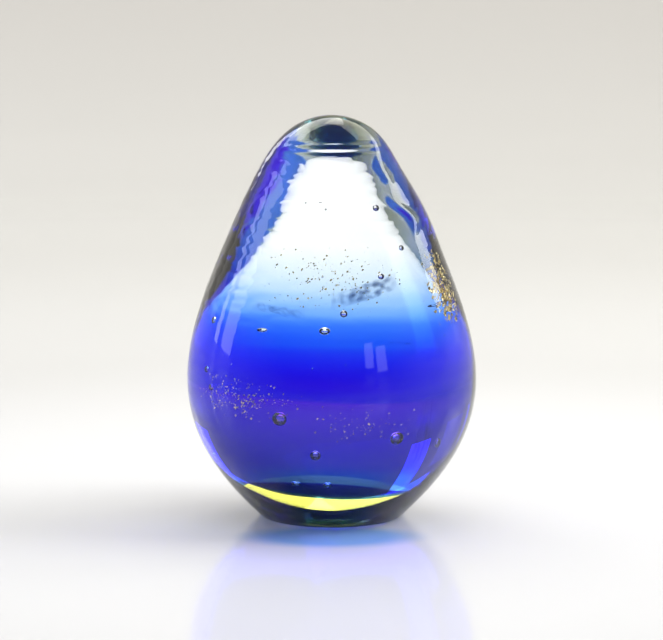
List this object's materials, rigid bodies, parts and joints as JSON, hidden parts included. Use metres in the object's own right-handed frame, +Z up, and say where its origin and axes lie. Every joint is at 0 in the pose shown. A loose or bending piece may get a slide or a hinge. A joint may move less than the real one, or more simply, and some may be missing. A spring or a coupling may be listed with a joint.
{
  "type": "glass paperweight",
  "caption": "Egg-shaped solid glass paperweight on a flat foot: clear casing over sky-blue, indigo and cobalt layers, a yellow pad, gold leaf, smoky wisps and bubbles.",
  "frame": {"origin": "centre of the flat round foot, on the surface the paperweight stands on", "axes": "+Z up the egg from the foot to the rounded point, -Y towards the front, +X to the right seen from the front"},
  "size_m": [0.0538, 0.0538, 0.075],
  "materials": {
    "casing_glass": "clear hot-worked glass, fire polished, with small trapped bubbles",
    "core_glass": "clear glass, polished",
    "sky_glass": "transparent sky-blue glass, feathered at the rim",
    "indigo_glass": "transparent violet-blue glass",
    "cobalt_glass": "transparent deep cobalt-blue glass",
    "amber_glass": "transparent yellow glass",
    "gold_leaf": "torn gold leaf sealed in glass, bright and crinkled",
    "smoke_glass": "grey smoky glass, thin and cloudy"
  },
  "bodies": {
    "root": {"outer_casing": "casing_glass", "clear_core": "core_glass", "sky_band": "sky_glass", "indigo_band": "indigo_glass", "cobalt_cup": "cobalt_glass", "amber_base": "amber_glass", "gold_leaf_right": "gold_leaf", "gold_leaf_front": "gold_leaf", "gold_leaf_left": "gold_leaf", "gold_leaf_centre": "gold_leaf", "smoke_wisp_right": "smoke_glass", "smoke_wisp_left": "smoke_glass", "smoke_streak": "smoke_glass"}
  },
  "joints": []
}
